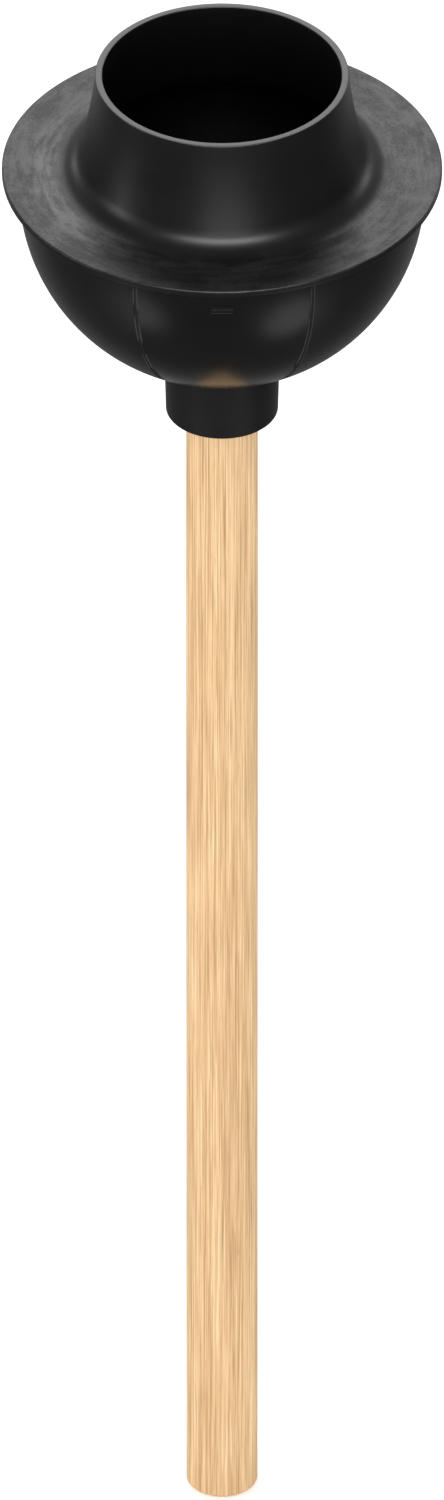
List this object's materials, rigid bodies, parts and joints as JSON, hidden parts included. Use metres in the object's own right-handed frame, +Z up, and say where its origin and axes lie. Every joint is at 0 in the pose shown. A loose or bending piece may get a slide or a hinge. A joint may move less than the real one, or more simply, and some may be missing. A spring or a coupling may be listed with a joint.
{
  "type": "toilet plunger",
  "caption": "Black rubber force-cup plunger with a fold-out neck, a spherical bell, an overhanging brim and a straight wooden dowel handle.",
  "frame": {"origin": "centre of the handle's free end", "axes": "+Z up along the handle to the mouth of the cup; +X and +Y across it"},
  "size_m": [0.1524, 0.1524, 0.5992],
  "materials": {
    "handle_wood": "bare sanded hardwood with fine straight grain",
    "cup_rubber": "satin moulded rubber with a faint dusty bloom",
    "plated_steel": "zinc plated"
  },
  "bodies": {
    "handle_and_socket": {"handle": "handle_wood", "socket_collar": "cup_rubber", "bell": "cup_rubber", "screw_washer": "plated_steel", "retaining_screw": "plated_steel"},
    "brim_ring": {"brim": "cup_rubber", "neck": "cup_rubber"},
    "lip_ring": {"mouth_lip": "cup_rubber"}
  },
  "joints": [
    {"name": "plunge", "type": "slide", "parent": "handle_and_socket", "child": "brim_ring", "axis": [0, 0, -1], "range_m": [0, 0.02], "stiffness_N_per_m": 2500, "deforming": ["bell"]},
    {"name": "neck_tuck", "type": "slide", "parent": "brim_ring", "child": "lip_ring", "axis": [0, 0, -1], "range_m": [0, 0.074], "deforming": ["neck"]}
  ]
}
